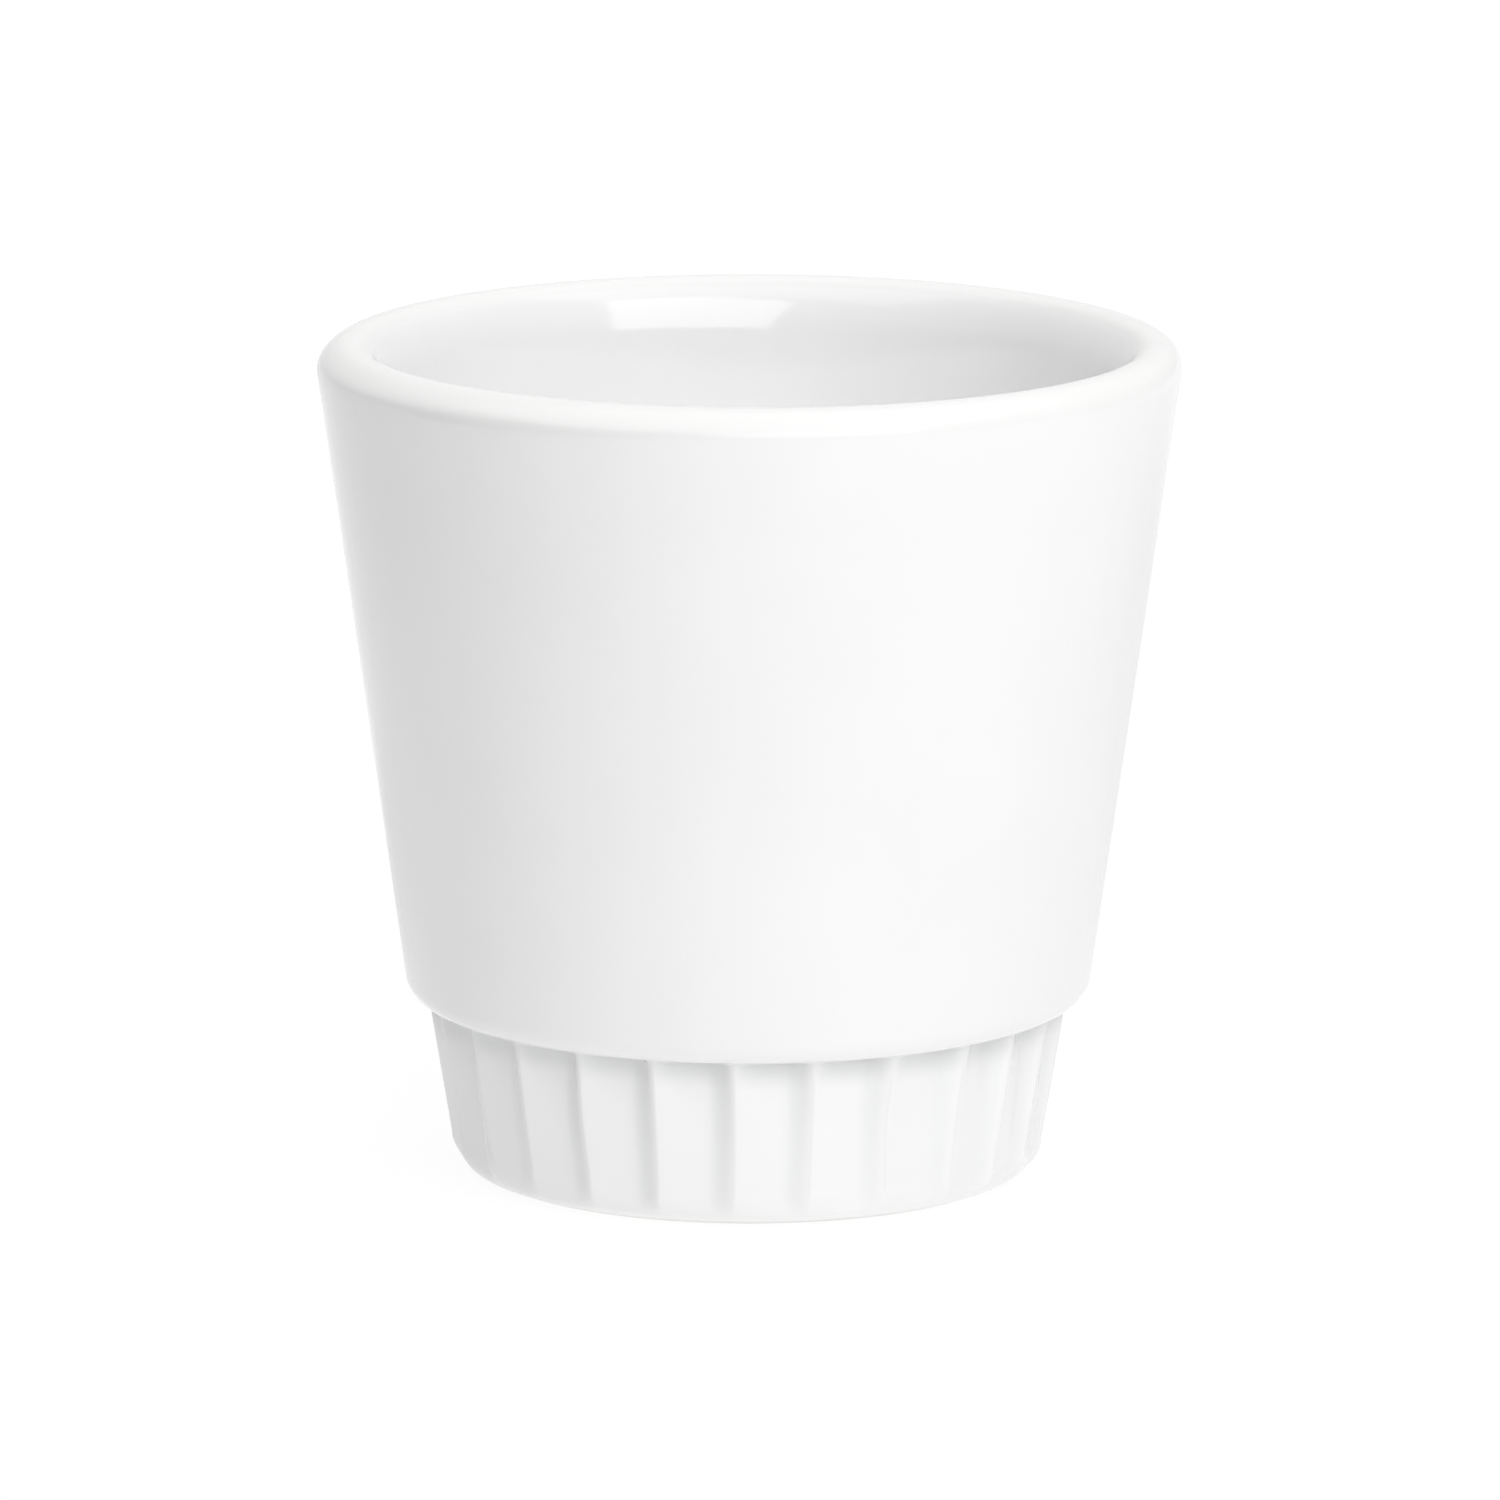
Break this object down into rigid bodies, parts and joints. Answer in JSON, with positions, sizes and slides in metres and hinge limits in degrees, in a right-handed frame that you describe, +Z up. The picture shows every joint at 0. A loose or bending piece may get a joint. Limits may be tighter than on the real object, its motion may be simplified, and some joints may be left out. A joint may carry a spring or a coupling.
{
  "type": "ramekin",
  "caption": "Tapered white glazed porcelain ramekin with a thick rounded lip, a rounded shoulder and a narrower foot with shallow pleat-like flutes, for baking or serving a single portion.",
  "frame": {"origin": "centre of the foot ring, on the surface that the ramekin stands on", "axes": "+Z up along the axis of the cup, -Y towards the front of the picture, +X to its right"},
  "size_m": [0.0748, 0.0748, 0.073],
  "materials": {
    "porcelain": "bare fired porcelain, matt and fine-grained, seen only on the ring that the ramekin stands on",
    "glaze": "glossy neutral white glaze, thinner and a shade greyer on the lip and the crests of the flutes, thicker along their deep edges"
  },
  "bodies": {
    "root": {"porcelain_body": "porcelain", "glaze_coat": "glaze", "underside_glaze": "glaze"}
  },
  "joints": []
}
